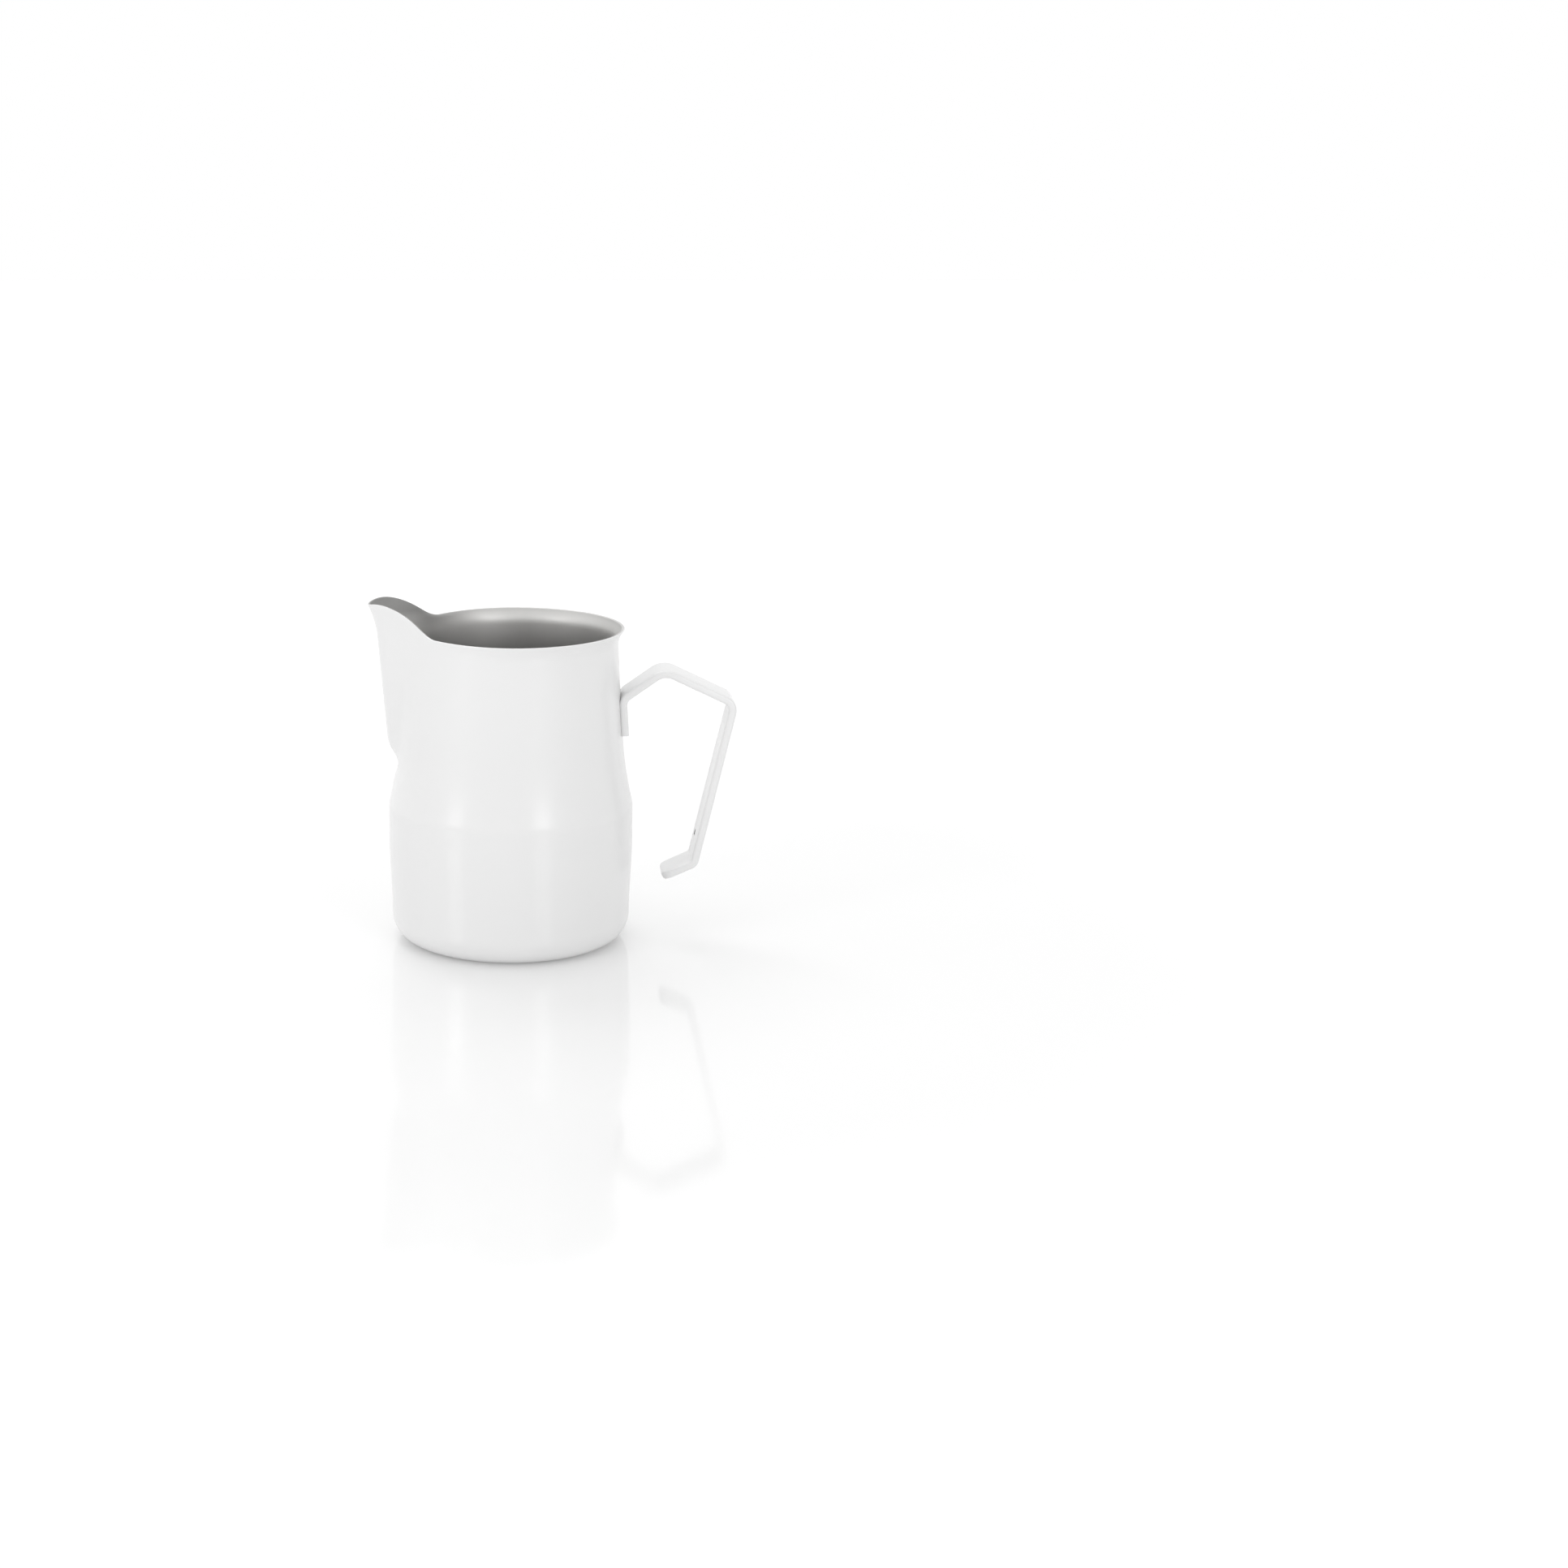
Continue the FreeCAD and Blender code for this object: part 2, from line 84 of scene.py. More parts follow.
LAMP_AIM = (0.0, 0.0, 0.06)
LAMPS = (                                       # name, place, width, height, radiance
    ("window_left", (-1.29, -0.96, 0.47), 0.40, 0.50, 5.6),
    ("window_right", (0.80, -1.38, 0.47), 0.40, 0.50, 5.4),
    ("ceiling", (0.0, -0.3, 1.5), 0.8, 0.8, 0.8),
    ("skylight", (-0.25, 0.8, 1.3), 0.8, 0.8, 2.6),
    ("left_wall", (-1.1, 0.1, 0.9), 0.8, 0.8, 0.4),
)
FLOOR_REACH = 4.0
GLOW_START = 0.2                                # from the jug, where the board's glow grows


# ---------------------------------------------------------------- settings
def length(name, description, default):
    return FloatProperty(name=name, description=description, default=default,
                         unit="LENGTH", subtype="DISTANCE", precision=5)


def turn(name, description, default):
    return FloatProperty(name=name, description=description, default=math.radians(default),
                         unit="ROTATION", subtype="ANGLE")


def number(name, description, default):
    return FloatProperty(name=name, description=description, default=default)


def tint(name, description, default):
    return FloatVectorProperty(name=name, description=description, default=default,
                               subtype="COLOR", size=3, min=0.0, max=1.0)


class MilkJugVesselSettings(bpy.types.PropertyGroup):
    wall: length("Wall", "Thickness of the pressed sheet", 0.9 * MM)
    belly_radius: length("Belly Radius", "Largest outer radius", 41.15 * MM)
    rim_height: length("Rim Height", "Height of the level part of the rim", 106.6 * MM)
    corner_radius: length("Corner Radius", "Outer radius between base and side", 8.5 * MM)
    base_draw: length("Base Draw", "Side above the corner, inside the belly", 0.85 * MM)
    shoulder_draw: length("Shoulder Draw", "Shoulder, inside the belly", 0.65 * MM)
    waist_draw: length("Waist Draw", "Waist, inside the belly", 3.4 * MM)
    collar_draw: length("Collar Draw", "Collar, inside the belly", 5.13 * MM)
    lip_flare: length("Lip Flare", "How far the lip turns out", 2.28 * MM)
    lip_height: length("Lip Height", "Height of the turned lip", 4.6 * MM)
    keel_reach: length("Keel Reach", "Foot of the spout's keel, outside the belly", 0.5 * MM)
    throat_reach: length("Throat Reach", "Spout below its tip, outside the belly", 3.35 * MM)
    tip_reach: length("Tip Reach", "Tip of the spout, outside the belly", 6.6 * MM)
    brow_rise: length("Brow Rise", "How far the rim climbs beside the spout", 11.2 * MM)
    brow_angle: turn("Brow Angle", "Where the rim starts to climb", 45.0)
    droop: length("Droop", "How far the very tip bows down again", 3.3 * MM)
    pinch: length("Pinch", "How far the rim is drawn in beside the spout", 1.4 * MM)


class MilkJugHandleSettings(bpy.types.PropertyGroup):
    strip_width: length("Strip Width", "Strip, across", 15.0 * MM)
    strip_thickness: length("Strip Thickness", "Strip, through", 2.6 * MM)
    edge_radius: length("Edge Radius", "Rounding of the long edges", 0.9 * MM)
    end_radius: length("End Radius", "Rounding of the free end's corners", 3.6 * MM)


class MilkJugFinishSettings(bpy.types.PropertyGroup):
    lacquer: tint("Lacquer", "White gloss lacquer of the outside", (0.782, 0.782, 0.782))
    steel: tint("Steel", "Bare satin steel of the inside", (0.60, 0.595, 0.585))
    lacquer_roughness: number("Lacquer Roughness", "Roughness of the lacquer", 0.25)
    steel_roughness: number("Steel Roughness", "Roughness of the blasted steel", 0.53)


class MilkJugStageSettings(bpy.types.PropertyGroup):
    elevation: turn("Elevation", "Camera's height over the horizon", 14.1)
    distance: length("Distance", "From the camera to the jug's middle", 0.878)
    aim_height: length("Aim Height", "Height that the camera looks at", 52.7 * MM)
    lens: number("Lens", "Focal length in millimetres", 59.63)
    shift: number("Shift", "Sideways shift of the picture", 0.1742)
    horizon: number("Horizon", "Brightness of the room at the horizon", 0.84)
    zenith: number("Zenith", "Brightness of the room overhead", 0.76)
    glow_near: number("Glow Near", "Own light of the floor board beside the jug", 0.09)
    glow_far: number("Glow Far", "Own light of the floor board a metre away", 0.36)


# ---------------------------------------------------------------- node writing
def feed(tree, slot, part):
    """Puts a number, colour, socket or Term on one of a node's inputs."""
    if isinstance(part, Term):
        part = part.socket
    if isinstance(part, bpy.types.NodeSocket):
        tree.links.new(part, slot)
    else:
        slot.default_value = part


def add(tree, kind, settings=None, sockets=None):
    """Adds a node of a kind, with its settings and what is on its inputs."""
    node = tree.nodes.new(kind)
    for name, value in (settings or {}).items():
        setattr(node, name, value)
    for name, part in (sockets or {}).items():
        feed(tree, node.inputs[name], part)
    return node


class Term:
    """A number in a node tree; reckoning with it adds Math nodes to the tree."""

    def __init__(self, tree, socket):
        self.tree, self.socket = tree, socket

    def math(self, operation, *parts, clamp=False):
        node = self.tree.nodes.new("ShaderNodeMath")
        node.operation, node.use_clamp = operation, clamp
        for slot, part in zip(node.inputs, parts):
            feed(self.tree, slot, part)
        return Term(self.tree, node.outputs[0])

    def __add__(self, other):
        return self.math("ADD", self, other)

    def __sub__(self, other):
        return self.math("SUBTRACT", self, other)

    def __rsub__(self, other):
        return self.math("SUBTRACT", other, self)

    def __mul__(self, other):
        return self.math("MULTIPLY", self, other)

    def __truediv__(self, other):
        return self.math("DIVIDE", self, other)

    def __pow__(self, other):
        return self.math("POWER", self, other)

    def __neg__(self):
        return self * -1.0

    def __abs__(self):
        return self.math("ABSOLUTE", self)

    def __radd__(self, other):                   # sum() starts at 0
        return self if other == 0 else self.math("ADD", other, self)

    def over(self, limit):
        return self.math("GREATER_THAN", self, limit)

    def limited(self):
        return self.math("ADD", self, 0.0, clamp=True)

    def sine(self):
        return self.math("SINE", self)

    def cosine(self):
        return self.math("COSINE", self)

    def root(self):
        return self.math("SQRT", self)

    __rmul__ = __mul__


def parts_of(tree, vector):
    split = add(tree, "ShaderNodeSeparateXYZ", None, {0: vector})
    return [Term(tree, output) for output in split.outputs]


def joined(tree, x, y, z):
    return add(tree, "ShaderNodeCombineXYZ", None, {"X": x, "Y": y, "Z": z}).outputs[0]


def vector_math(tree, operation, *parts, scale=None):
    node = add(tree, "ShaderNodeVectorMath", {"operation": operation}, dict(enumerate(parts)))
    if scale is not None:
        feed(tree, node.inputs["Scale"], scale)
    return node.outputs[0]


# ---------------------------------------------------------------- the forms' rules
def hermite(stations, at):
    """Smooth curve through (place, value, slope) stations, level past both ends."""
    total = stations[0][1]
    for (x0, y0, slope0), (x1, y1, slope1) in zip(stations, stations[1:]):
        span = x1 - x0
        t = ((at - x0) / span).limited()
        total = total + t * t * (3.0 - 2.0 * t) * (y1 - y0)
        total = total + t * (1.0 - t) * span * ((1.0 - t) * slope0 - t * slope1)
    return total


def ease(x):
    """1 at x = 0 and below, falling in half a cosine wave to 0 at x = 1 and above."""
    return 0.5 * (1.0 + (x.limited() * math.pi).cosine())


def bell(angle, width):
    """1 in the middle, falling off to both sides as a bell curve does."""
    across = angle / width
    return (-across * across).math("EXPONENT", -across * across)


class VesselForm:
    """Radius of the outer skin over (angle from the spout in degrees, height in metres)."""

    def __init__(self, sizes):
        self.sizes = sizes
        belly, rim = sizes["belly_radius"], sizes["rim_height"]
        brow = rim + sizes["brow_rise"]
        collar = belly - sizes["collar_draw"]
        self.base_radius = belly - sizes["base_draw"] - sizes["corner_radius"]
        self.wall_line = [
            (sizes["corner_radius"], belly - sizes["base_draw"], 0.0),
            (BELLY_LOW, belly, 0.0),
            (BELLY_HIGH, belly, 0.0),
            (SHOULDER_HEIGHT, belly - sizes["shoulder_draw"], -SHOULDER_SLOPE),
            (WAIST_HEIGHT, belly - sizes["waist_draw"], -WAIST_SLOPE),
            (rim - COLLAR_DROP, collar, -COLLAR_SLOPE),
            (brow, collar, 0.0),
        ]
        throat, tip = rim - THROAT_DROP, rim + TIP_RISE
        straight = (sizes["throat_reach"] - sizes["keel_reach"]) / (throat - KEEL_HEIGHT)
        self.front_line = [
            (FOOT_HEIGHT, belly - FOOT_DRAW, FOOT_SLOPE),
            (KNEE_HEIGHT, belly - KNEE_DRAW, KNEE_SLOPE),
            (KEEL_HEIGHT, belly + sizes["keel_reach"], straight),
            (throat, belly + sizes["throat_reach"], straight),
            (tip, belly + sizes["tip_reach"], TIP_SLOPE),
        ]
        at_foot = 0.0 * rim + FOOT_HEIGHT                 # the same height as a Term
        dent = self.round_radius(at_foot) - (belly - FOOT_DRAW)
        self.dent_line = [(DENT_START, 0.0, 0.0), (FOOT_HEIGHT, -dent, -DENT_SLOPE)]
        self.spread_line = [(FOOT_HEIGHT, FOOT_WIDTH, 0.0), (KEEL_HEIGHT, KEEL_WIDTH, KEEL_SPREAD),
                            (throat, THROAT_WIDTH, THROAT_SPREAD), (tip, MOUTH_WIDTH, 0.0)]

    def round_radius(self, height):
        return hermite(self.wall_line, height)

    def rim(self, angle):
        sizes = self.sizes
        climb = sizes["brow_rise"] * ease(angle / (sizes["brow_angle"] * math.degrees(1.0)))
        return sizes["rim_height"] + climb - sizes["droop"] * bell(angle, DROOP_WIDTH)

    def radius(self, angle, height):
        sizes = self.sizes
        rim, neck = sizes["rim_height"], PINCH_START
        beside = ease((angle - PINCH_NEAR) / PINCH_SPAN)
        up_lip = ((height - rim) / sizes["lip_height"] + 1.0).limited()
        lip = sizes["lip_flare"] * up_lip ** LIP_CURL * (1.0 - beside)
        drawn_in = sizes["pinch"] * beside * ((height - neck) / (rim - neck)).limited()
        plain = self.round_radius(height)
        above = height.over(FOOT_HEIGHT)
        bulge = above * (hermite(self.front_line, height) - plain + drawn_in)
        bulge = bulge + (1.0 - above) * hermite(self.dent_line, height)
        return plain + lip - drawn_in + bulge * bell(angle, hermite(self.spread_line, height))


def new_tree(name, sizes, geometry_in=False):
    """A Geometry Nodes tree with one named input for each size, and materials."""
    tree = bpy.data.node_groups.new(name, "GeometryNodeTree")
    tree.interface.new_socket(name="Geometry", in_out="OUTPUT", socket_type="NodeSocketGeometry")
    if geometry_in:
        tree.interface.new_socket(name="Path", in_out="INPUT", socket_type="NodeSocketGeometry")
    for label in sizes:
        tree.interface.new_socket(name=label, in_out="INPUT", socket_type="NodeSocketFloat")
    for label in ("Outer Material", "Inner Material"):
        tree.interface.new_socket(name=label, in_out="INPUT", socket_type="NodeSocketMaterial")
    return tree, tree.nodes.new("NodeGroupInput"), tree.nodes.new("NodeGroupOutput")


def labels_of(settings):
    """Setting names and the labels that their tree inputs carry."""
    return {name: settings.bl_rna.properties[name].name for name in settings.__annotations__}


def grid_of(tree, rows, columns):
    """A flat grid, with how far along (in rows) and round (0 to 1) each point of it lies."""
    grid = add(tree, "GeometryNodeMeshGrid", None, {
        "Size X": float(rows), "Size Y": 1.0, "Vertices X": rows + 1, "Vertices Y": columns + 1})
    position = tree.nodes.new("GeometryNodeInputPosition").outputs[0]
    along, around, _ = parts_of(tree, position)
    return grid.outputs["Mesh"], along + rows / 2, around + 0.5


def finish_tree(tree, mesh, position, inner, group_in, group_out):
    """Moves the grid's points, closes its seams and puts the materials on."""
    marked = add(tree, "GeometryNodeStoreNamedAttribute",
                 {"data_type": "BOOLEAN", "domain": "FACE"},
                 {"Geometry": mesh, "Name": "inside", "Value": inner})
    moved = add(tree, "GeometryNodeSetPosition", None,
                {"Geometry": marked.outputs[0], "Position": position})
    closed = add(tree, "GeometryNodeMergeByDistance", None,
                 {"Geometry": moved.outputs[0], "Distance": MERGE})
    smooth = add(tree, "GeometryNodeSetShadeSmooth", None, {"Geometry": closed.outputs[0]})
    real = add(tree, "GeometryNodeRealizeInstances", None, {"Geometry": smooth.outputs[0]})
    outer = add(tree, "GeometryNodeSetMaterial", None,
                {"Geometry": real.outputs[0], "Material": group_in.outputs["Outer Material"]})
    inside = add(tree, "GeometryNodeInputNamedAttribute", {"data_type": "BOOLEAN"},
                 {"Name": "inside"})
    both = add(tree, "GeometryNodeSetMaterial", None, {
        "Geometry": outer.outputs[0], "Selection": inside.outputs["Attribute"],
        "Material": group_in.outputs["Inner Material"]})
    tree.links.new(both.outputs[0], group_out.inputs[0])


def vessel_tree(settings):
    """A grid wrapped round: base, corner, side, over the rim, and back down the inside."""
    labels = labels_of(settings)
    tree, group_in, group_out = new_tree("Vessel", labels.values())
    sizes = {name: Term(tree, group_in.outputs[label]) for name, label in labels.items()}
    form = VesselForm(sizes)
    side_rows = DISC_ROWS + CORNER_ROWS + WALL_ROWS
    mesh, row, around = grid_of(tree, 2 * side_rows + RIM_ROWS, COLUMNS)

    angle = around * 360.0 - 180.0
    off_spout = abs(angle)
    through = ((row - side_rows) / RIM_ROWS).limited()        # 0 outside, 1 inside
    blend = 0.5 - 0.5 * (through * math.pi).cosine()
    up = row.math("MINIMUM", row, 2 * side_rows + RIM_ROWS - row)
    on_disc = (up / DISC_ROWS).limited()
    on_corner = ((up - DISC_ROWS) / CORNER_ROWS).limited() * (0.5 * math.pi)
    on_wall = ((up - (DISC_ROWS + CORNER_ROWS)) / WALL_ROWS).limited()

    shell = sizes["wall"] * blend
    corner = sizes["corner_radius"] - shell
    top = form.rim(off_spout) - LIP_ROUND * sizes["wall"]
    wall_height = sizes["corner_radius"] + (top - sizes["corner_radius"]) * on_wall
    radius = form.radius(off_spout, wall_height)
    slope = (form.radius(off_spout, wall_height + SLOPE_STEP) - radius) / SLOPE_STEP
    slant = (1.0 + slope * slope).root()
    out = form.base_radius * on_disc + corner * on_corner.sine()
    out = out + radius - (form.base_radius + sizes["corner_radius"]) - shell * (slant - 1.0)
    height = shell + corner * (1.0 - on_corner.cosine()) + wall_height - sizes["corner_radius"]
    height = height + LIP_ROUND * sizes["wall"] * (through * math.pi).sine()

    turned = angle * math.radians(1.0)
    position = joined(tree, -out * turned.cosine(), out * turned.sine(), height)
    bare = row.over(side_rows + LIP_BARE * RIM_ROWS)
    finish_tree(tree, mesh, position, bare, group_in, group_out)
    return tree


def strip_tree(settings):
    """A flat strip with rounded edges, carried along the path's bends to its rounded end."""
    labels = labels_of(settings)
    tree, group_in, group_out = new_tree("Bent Strip", labels.values(), geometry_in=True)
    sizes = {name: Term(tree, group_in.outputs[label]) for name, label in labels.items()}
    bend = add(tree, "GeometryNodeInputNamedAttribute", {"data_type": "FLOAT"}, {"Name": "bend"})
    line = add(tree, "GeometryNodeMeshToCurve", None, {"Mesh": group_in.outputs["Path"]})
    bent = add(tree, "GeometryNodeFilletCurve", {"mode": "POLY"},
               {"Curve": line.outputs[0], "Count": BEND_STEPS, "Radius": bend.outputs["Attribute"]})
    even = add(tree, "GeometryNodeResampleCurve", {"mode": "LENGTH"},
               {"Curve": bent.outputs[0], "Length": PATH_STEP})
    total = Term(tree, add(tree, "GeometryNodeCurveLength", None,
                           {"Curve": even.outputs[0]}).outputs[0])

    ring = 4 * (EDGE_STEPS + 1)
    rows = 1 + STRIP_ROWS + TOE_ROWS + 1                     # with a row that closes each end
    mesh, row, around = grid_of(tree, rows, ring)
    row = row - 1.0
    end, edge = sizes["end_radius"], sizes["edge_radius"]
    toe = ((row - STRIP_ROWS) / TOE_ROWS).limited() * (0.5 * math.pi)
    left = (total - end) * (1.0 - (row / STRIP_ROWS).limited()) + end * (1.0 - toe.sine())
    capped = (row + 1.0).limited() * (rows - 1.0 - row).limited()

    near_end = (1.0 - left / end).limited()
    narrow = end * (1.0 - (1.0 - near_end * near_end).root())
    near_edge = (1.0 - left / edge).limited()
    thin = edge * (1.0 - (1.0 - near_edge * near_edge).root())
    place = around * ring
    side = (place / (EDGE_STEPS + 1)).math("FLOOR", place / (EDGE_STEPS + 1))
    swing = (place - side * (EDGE_STEPS + 1)) / EDGE_STEPS
    direction = (side + swing.limited()) * (0.5 * math.pi)
    middle = (side + 0.5) * (0.5 * math.pi)
    sign_across = 2.0 * middle.cosine().over(0.0) - 1.0
    sign_through = 2.0 * middle.sine().over(0.0) - 1.0
    half_width = 0.5 * sizes["strip_width"]
    half_through = 0.5 * sizes["strip_thickness"]
    across = sign_across * (half_width - edge) + edge * direction.cosine()
    through = sign_through * (half_through - edge) + edge * direction.sine()
    across = across * (half_width - narrow) / half_width * capped
    through = through * (half_through - thin) / half_through * capped

    spot = add(tree, "GeometryNodeSampleCurve", {"mode": "LENGTH"},
               {"Curves": even.outputs[0], "Length": total - left})
    normal = vector_math(tree, "NORMALIZE", vector_math(
        tree, "CROSS_PRODUCT", (0.0, 1.0, 0.0), spot.outputs["Tangent"]))
    lifted = vector_math(tree, "SCALE", normal, scale=through)
    sideways = joined(tree, 0.0, across, 0.0)
    position = vector_math(tree, "ADD", vector_math(
        tree, "ADD", spot.outputs["Position"], lifted), sideways)
    finish_tree(tree, mesh, position, False, group_in, group_out)
    return tree


def realised(name, base, tree, values):
    """Runs a tree on a base mesh and keeps what comes out as a plain mesh object."""
    maker = bpy.data.objects.new(name + "_maker", base)
    bpy.context.scene.collection.objects.link(maker)
    modifier = maker.modifiers.new("Form", "NODES")
    modifier.node_group = tree
    for item in tree.interface.items_tree:
        if item.item_type == "SOCKET" and item.in_out == "INPUT" and item.name in values:
            modifier[item.identifier] = values[item.name]
    bpy.context.view_layer.update()
    graph = bpy.context.evaluated_depsgraph_get()
    mesh = bpy.data.meshes.new_from_object(maker.evaluated_get(graph), depsgraph=graph)
    mesh.name = name
    maker.modifiers.remove(modifier)
    bpy.data.objects.remove(maker)
    if signed_volume(mesh) < 0:
        mesh.flip_normals()
    piece = bpy.data.objects.new(name, mesh)
    bpy.context.scene.collection.objects.link(piece)
    return piece


def signed_volume(mesh):
    mesh.calc_loop_triangles()
    total = 0.0
    for triangle in mesh.loop_triangles:
        a, b, c = (mesh.vertices[corner].co for corner in triangle.vertices)
        total += a.dot(b.cross(c))
    if not total:
        raise RuntimeError(f"{mesh.name} came out empty")
    return total / 6


def values_of(settings, outer, inner):
    values = {label: getattr(settings, name) for name, label in labels_of(settings).items()}
    values["Outer Material"], values["Inner Material"] = outer, inner
    return values


# ---------------------------------------------------------------- finishes
def new_material(name):
    material = bpy.data.materials.new(name)
    material.use_nodes = True
    tree = material.node_tree
    tree.nodes.clear()
    surface = tree.nodes.new("ShaderNodeBsdfPrincipled")
    output = tree.nodes.new("ShaderNodeOutputMaterial")
    tree.links.new(surface.outputs[0], output.inputs["Surface"])
    return material, tree, surface


def object_place(tree):
    return tree.nodes.new("ShaderNodeTexCoord").outputs["Object"]


def noise(tree, vector, scale, detail=2.0, rough=0.5):
    node = add(tree, "ShaderNodeTexNoise", None, {
        "Vector": vector, "Scale": scale, "Detail": detail, "Roughness": rough})
    return Term(tree, node.outputs["Fac"])


def bump(tree, height, depth, strength=1.0):
    node = add(tree, "ShaderNodeBump", None, {
        "Height": height, "Distance": depth, "Strength": strength})
    return node.outputs[0]


def mixed(tree, factor, low, high):
    node = add(tree, "ShaderNodeMix", {"data_type": "RGBA"})
    for index, part in ((0, factor), (6, low), (7, high)):
        feed(tree, node.inputs[index], part)
    return node.outputs[2]


def scaled(colour, factor):
    return (*(part * factor for part in colour), 1.0)


def lacquer_material(name, finish, nicked=False):
    """White gloss lacquer: fine orange peel, faint smears, nibs of dust, and one nick if asked."""
    material, tree, surface = new_material(name)
    place = object_place(tree)
    peel = noise(tree, place, 520.0, 2.0)
    sag = noise(tree, place, 60.0, 2.0)
    smear = noise(tree, vector_math(tree, "MULTIPLY", place, (1.0, 1.0, 0.4)), 45.0, 4.0, 0.6)
    cells = add(tree, "ShaderNodeTexVoronoi", {"feature": "F1"},
                {"Vector": place, "Scale": 110.0, "Randomness": 1.0})
    chosen = parts_of(tree, cells.outputs["Color"])[0].over(0.93)
    nib = (1.0 - Term(tree, cells.outputs["Distance"]) / 0.03).limited() * chosen
    height = peel * 0.4 + sag + nib * 6.0
    colour = mixed(tree, smear, scaled(finish.lacquer, 0.992), scaled(finish.lacquer, 1.006))
    colour = mixed(tree, nib * 0.25, colour, (0.55, 0.54, 0.52, 1.0))
    rough = finish.lacquer_roughness * (0.9 + 0.2 * smear)
    if nicked:
        offset = parts_of(tree, vector_math(tree, "SUBTRACT", place, NICK_PLACE))
        ragged = noise(tree, place, 2600.0, 2.0) * 0.9
        reach = [part / size for part, size in zip(offset, NICK_SIZE)]
        spread = sum(part * part for part in reach).root()
        chip = ((1.25 - spread - ragged * 0.6) * 4.0).limited()
        colour = mixed(tree, chip, colour, (0.045, 0.04, 0.038, 1.0))
        rough = rough + chip * 0.4
        height = height - chip * 30.0
    feed(tree, surface.inputs["Base Color"], colour)
    feed(tree, surface.inputs["Roughness"], rough)
    feed(tree, surface.inputs["Normal"], bump(tree, height, 0.004 * MM))
    surface.inputs["IOR"].default_value = 1.5
    return material


def steel_material(name, finish, rim):
    """Satin blasted steel with faint upright draw lines; its base colour carries painted light: a
    painted highlight band just under the lip and painted shade darkening towards the deep inside.
    """
    material, tree, surface = new_material(name)
    place = object_place(tree)
    grain = noise(tree, place, 3200.0, 2.0, 0.7)
    cloud = noise(tree, place, 38.0, 4.0, 0.55)
    drawn = noise(tree, vector_math(tree, "MULTIPLY", place, (1.0, 1.0, 0.06)), 420.0, 3.0, 0.6)
    tone = (0.62 * cloud + 0.2 * drawn + 0.18 * grain).limited()
    rise = parts_of(tree, place)[2] - rim
    # painted light: the base colour is raised in a band just under the lip (painted highlight) and
    # lowered towards the deep inside (painted shade)
    painted_light = (0.72 + (rise / (11.0 * MM) + 1.27).limited() * 0.58
             - (rise / (8.0 * MM) + 0.6).limited() * 0.78) / 1.3
    # both ends of the random tone are lit and shaded copies of the steel colour, mixed by the
    # painted highlight and painted shade
    dull_steel_painted_light = mixed(tree, painted_light, scaled(finish.steel, 0.05), scaled(finish.steel, 1.12))
    bright_steel_painted_light = mixed(tree, painted_light, scaled(finish.steel, 0.10), scaled(finish.steel, 1.38))
    colour = mixed(tree, tone, dull_steel_painted_light, bright_steel_painted_light)
    feed(tree, surface.inputs["Base Color"], colour)
    surface.inputs["Metallic"].default_value = 1.0
    feed(tree, surface.inputs["Roughness"], finish.steel_roughness * (0.82 + 0.36 * cloud))
    height = grain + 0.5 * drawn
    feed(tree, surface.inputs["Normal"], bump(tree, height, 0.02 * MM))
    return material


def floor_material(name, near, glow_near, glow_far):
    """White gloss board under the jug, which glows a little, more away from the jug."""
    material, tree, surface = new_material(name)
    place = object_place(tree)
    surface.inputs["Base Color"].default_value = (0.80, 0.80, 0.80, 1.0)
    surface.inputs["IOR"].default_value = 2.6
    x, y, _ = parts_of(tree, place)
    far = (((x * x + y * y).root() - near) / (1.0 - near)).limited()
    glow = glow_near + (glow_far - glow_near) * far
    feed(tree, surface.inputs["Emission Color"], joined(tree, glow, glow, glow))
    surface.inputs["Emission Strength"].default_value = 1.0
    feed(tree, surface.inputs["Roughness"], 0.06 + 0.04 * noise(tree, place, 30.0, 3.0))
    return material


# ---------------------------------------------------------------- operators
class MILKJUG_OT_vessel(bpy.types.Operator):
    """Makes the vessel: one pressed sheet from the base up to the rim and its spout"""
    bl_idname = "milkjug.vessel"
    bl_label = "Build Vessel"

    def execute(self, context):
        scene = context.scene
        outside = lacquer_material("white_lacquer", scene.milkjug_finish)
        inside = steel_material("satin_steel", scene.milkjug_finish,
                                scene.milkjug_vessel.rim_height)
        tree = vessel_tree(scene.milkjug_vessel)
        piece = realised("vessel", bpy.data.meshes.new("vessel_base"), tree,
                         values_of(scene.milkjug_vessel, outside, inside))
        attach(piece, "root")
        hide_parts("jug_body")
        return {"FINISHED"}


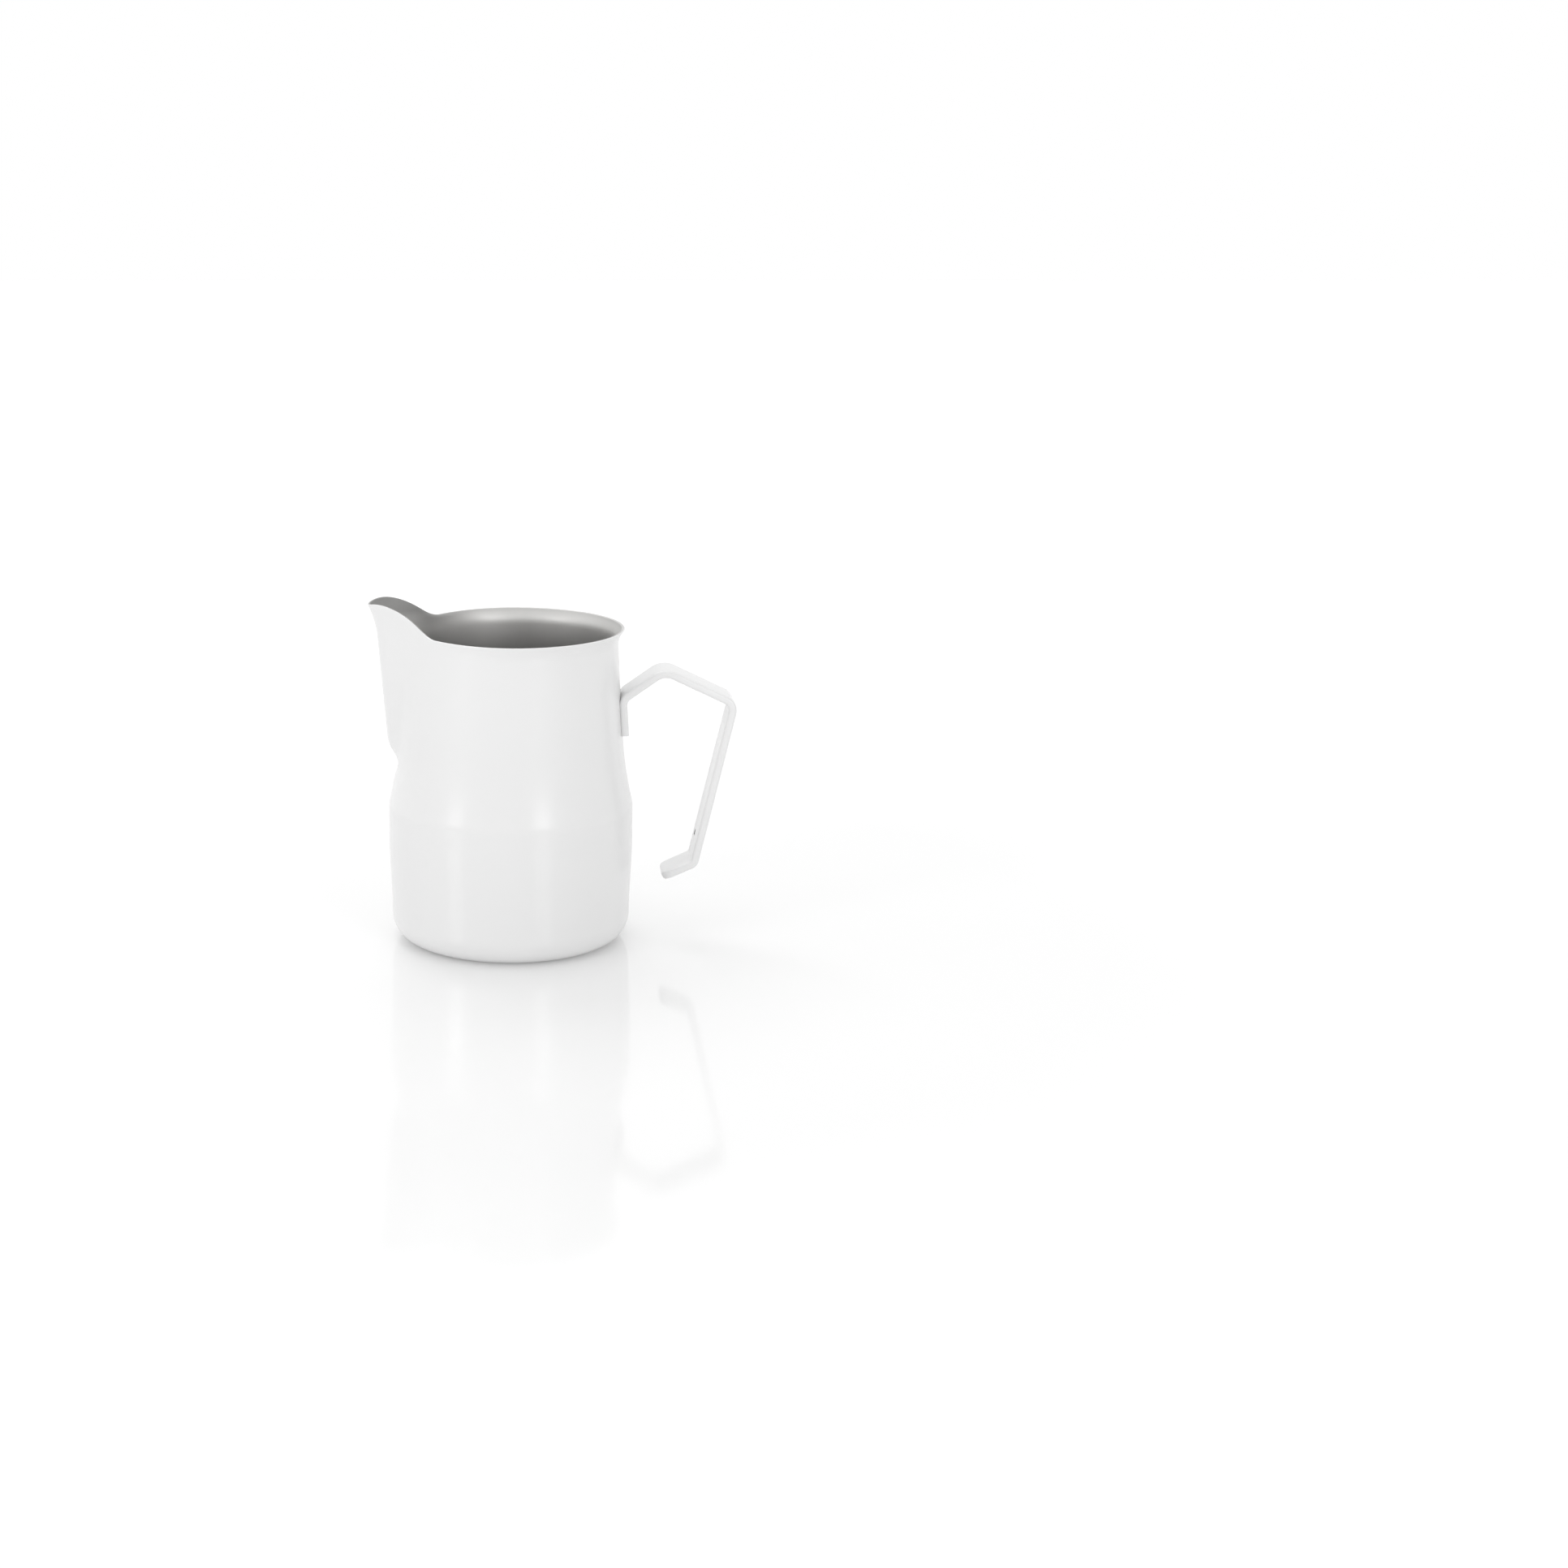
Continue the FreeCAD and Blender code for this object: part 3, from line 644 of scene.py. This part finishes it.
class MILKJUG_OT_handle(bpy.types.Operator):
    """Makes the handle: a flat strip bent out from the neck, down and back"""
    bl_idname = "milkjug.handle"
    bl_label = "Build Handle"

    def execute(self, context):
        scene = context.scene
        jug = scene.milkjug_vessel
        settings = scene.milkjug_handle
        half = 0.5 * settings.strip_thickness
        belly = jug.belly_radius
        seat = half - SEAT
        route = [
            ((NECK_LOW + seat, 71.0 * MM), 0.0),
            ((NECK_HIGH + seat, 83.2 * MM), 3.6 * MM),
            ((belly + 9.9 * MM, 92.85 * MM), 6.2 * MM),
            ((belly + 33.4 * MM, 81.7 * MM), 3.9 * MM),
            ((belly + 20.8 * MM, 26.6 * MM), 2.5 * MM),
            ((belly + 10.1 * MM, 21.8 * MM), 0.0),
        ]
        base = bpy.data.meshes.new("handle_path")
        base.from_pydata([(x, 0.0, z) for (x, z), _ in route],
                         [(start, start + 1) for start in range(len(route) - 1)], [])
        bends = base.attributes.new("bend", "FLOAT", "POINT")
        bends.data.foreach_set("value", [bend for _, bend in route])
        lacquer = lacquer_material("white_lacquer_handle", scene.milkjug_finish,
                                   nicked=True)
        piece = realised("handle_strip", base, strip_tree(settings),
                         values_of(settings, lacquer, lacquer))
        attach(piece, "root")
        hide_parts("handle")
        return {"FINISHED"}


def area_lamp(name, place, width, height, radiance):
    """A soft lamp of a given brightness, facing the jug."""
    data = bpy.data.lights.new(name, "AREA")
    data.shape, data.size, data.size_y = "RECTANGLE", width, height
    data.energy = radiance * math.pi * width * height
    lamp = bpy.data.objects.new(name, data)
    lamp.location = place
    lamp.rotation_euler = (Vector(LAMP_AIM) - Vector(place)).to_track_quat("-Z", "Y").to_euler()
    bpy.context.scene.collection.objects.link(lamp)


class MILKJUG_OT_stage(bpy.types.Operator):
    """Sets up the camera, the soft daylight and the white gloss floor"""
    bl_idname = "milkjug.stage"
    bl_label = "Build Stage"

    def execute(self, context):
        scene, settings = context.scene, context.scene.milkjug_stage
        lens = bpy.data.cameras.new("camera")
        lens.lens, lens.sensor_width, lens.shift_x = settings.lens, 36.0, settings.shift
        camera = bpy.data.objects.new("camera", lens)
        rise = settings.elevation
        camera.location = (0.0, -settings.distance * math.cos(rise),
                           settings.aim_height + settings.distance * math.sin(rise))
        camera.rotation_euler = (0.5 * math.pi - rise, 0.0, 0.0)
        scene.collection.objects.link(camera)
        scene.camera = camera

        reach = FLOOR_REACH
        sheet = bpy.data.meshes.new("floor")
        corners = [(-reach, -reach), (reach, -reach), (reach, reach), (-reach, reach)]
        sheet.from_pydata([(x, y, 0.0) for x, y in corners], [], [(0, 1, 2, 3)])
        floor = bpy.data.objects.new("floor", sheet)
        scene.collection.objects.link(floor)
        floor.data.materials.append(floor_material(
            "white_gloss_board", GLOW_START, settings.glow_near, settings.glow_far))

        for lamp in LAMPS:
            area_lamp(*lamp)

        world = bpy.data.worlds.new("daylight")
        world.use_nodes = True
        tree = world.node_tree
        tree.nodes.clear()
        direction = tree.nodes.new("ShaderNodeTexCoord").outputs["Generated"]
        height = parts_of(tree, direction)[2].limited()
        path = tree.nodes.new("ShaderNodeLightPath").outputs
        seen = (Term(tree, path["Is Camera Ray"]) + Term(tree, path["Is Glossy Ray"])).limited()
        lit = settings.horizon + (settings.zenith - settings.horizon) * height
        strength = seen + (1.0 - seen) * lit
        sky = add(tree, "ShaderNodeBackground", None,
                  {"Color": (1.0, 1.0, 1.0, 1.0), "Strength": strength})
        output = tree.nodes.new("ShaderNodeOutputWorld")
        tree.links.new(sky.outputs[0], output.inputs["Surface"])
        scene.world = world
        scene.view_settings.view_transform = "Standard"
        return {"FINISHED"}


class MILKJUG_PT_panel(bpy.types.Panel):
    """Lists the jug's sizes and colours, with a button for each operator"""
    bl_idname = "MILKJUG_PT_panel"
    bl_label = "Milk Jug"
    bl_space_type = "VIEW_3D"
    bl_region_type = "UI"
    bl_category = "Milk Jug"

    def draw(self, context):
        for title, group, operator in (
                ("Vessel", "milkjug_vessel", "milkjug.vessel"),
                ("Handle", "milkjug_handle", "milkjug.handle"),
                ("Finish", "milkjug_finish", None),
                ("Stage", "milkjug_stage", "milkjug.stage")):
            box = self.layout.box()
            box.label(text=title)
            settings = getattr(context.scene, group)
            for name in settings.__annotations__:
                box.prop(settings, name)
            if operator:
                box.operator(operator)


GROUPS = {
    "milkjug_vessel": MilkJugVesselSettings,
    "milkjug_handle": MilkJugHandleSettings,
    "milkjug_finish": MilkJugFinishSettings,
    "milkjug_stage": MilkJugStageSettings,
}
CLASSES = (*GROUPS.values(), MILKJUG_OT_vessel, MILKJUG_OT_handle, MILKJUG_OT_stage,
           MILKJUG_PT_panel)


def register():
    for part in CLASSES:
        bpy.utils.register_class(part)
    for name, group in GROUPS.items():
        setattr(bpy.types.Scene, name, PointerProperty(type=group))


def unregister():
    for name in GROUPS:
        delattr(bpy.types.Scene, name)
    for part in reversed(CLASSES):
        bpy.utils.unregister_class(part)


def main():
    register()
    bpy.ops.milkjug.stage()
    bpy.ops.milkjug.vessel()
    bpy.ops.milkjug.handle()


if __name__ == "__main__":
    main()
